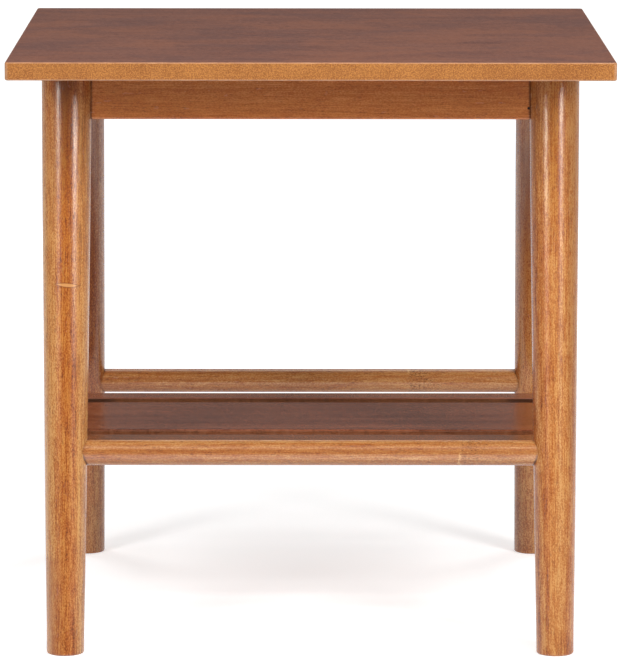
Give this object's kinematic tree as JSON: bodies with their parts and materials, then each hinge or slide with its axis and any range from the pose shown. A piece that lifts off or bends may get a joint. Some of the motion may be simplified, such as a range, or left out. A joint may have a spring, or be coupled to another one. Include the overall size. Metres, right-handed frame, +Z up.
{
  "type": "end table",
  "caption": "Square wooden end table with splayed tapered legs, round stretchers and a low open shelf of separate boards.",
  "frame": {"origin": "on the floor under the middle of the table top", "axes": "+Z up, the front faces -Y, +X to the right of someone who faces the front"},
  "size_m": [0.6096, 0.6096, 0.6096],
  "materials": {
    "top_wood": "satin stain and lacquer",
    "leg_wood": "satin stain and lacquer",
    "frame_wood": "satin stain and lacquer",
    "shelf_wood": "satin stain and lacquer",
    "dowel_wood": "bare",
    "steel": "zinc plated"
  },
  "bodies": {
    "root": {"table_top": "top_wood", "leg_front_left": "leg_wood", "leg_front_right": "leg_wood", "leg_rear_left": "leg_wood", "leg_rear_right": "leg_wood", "apron_front": "frame_wood", "apron_rear": "frame_wood", "apron_left": "frame_wood", "apron_right": "frame_wood", "corner_block_front_left": "frame_wood", "corner_block_front_right": "frame_wood", "corner_block_rear_left": "frame_wood", "corner_block_rear_right": "frame_wood", "stretcher_front": "frame_wood", "stretcher_rear": "frame_wood", "stretcher_left": "frame_wood", "stretcher_right": "frame_wood", "shelf_board_centre": "shelf_wood", "shelf_slat_front": "shelf_wood", "shelf_slat_rear": "shelf_wood", "apron_dowels": "dowel_wood", "top_screws": "steel", "block_screws": "steel", "shelf_screws": "steel"}
  },
  "joints": []
}
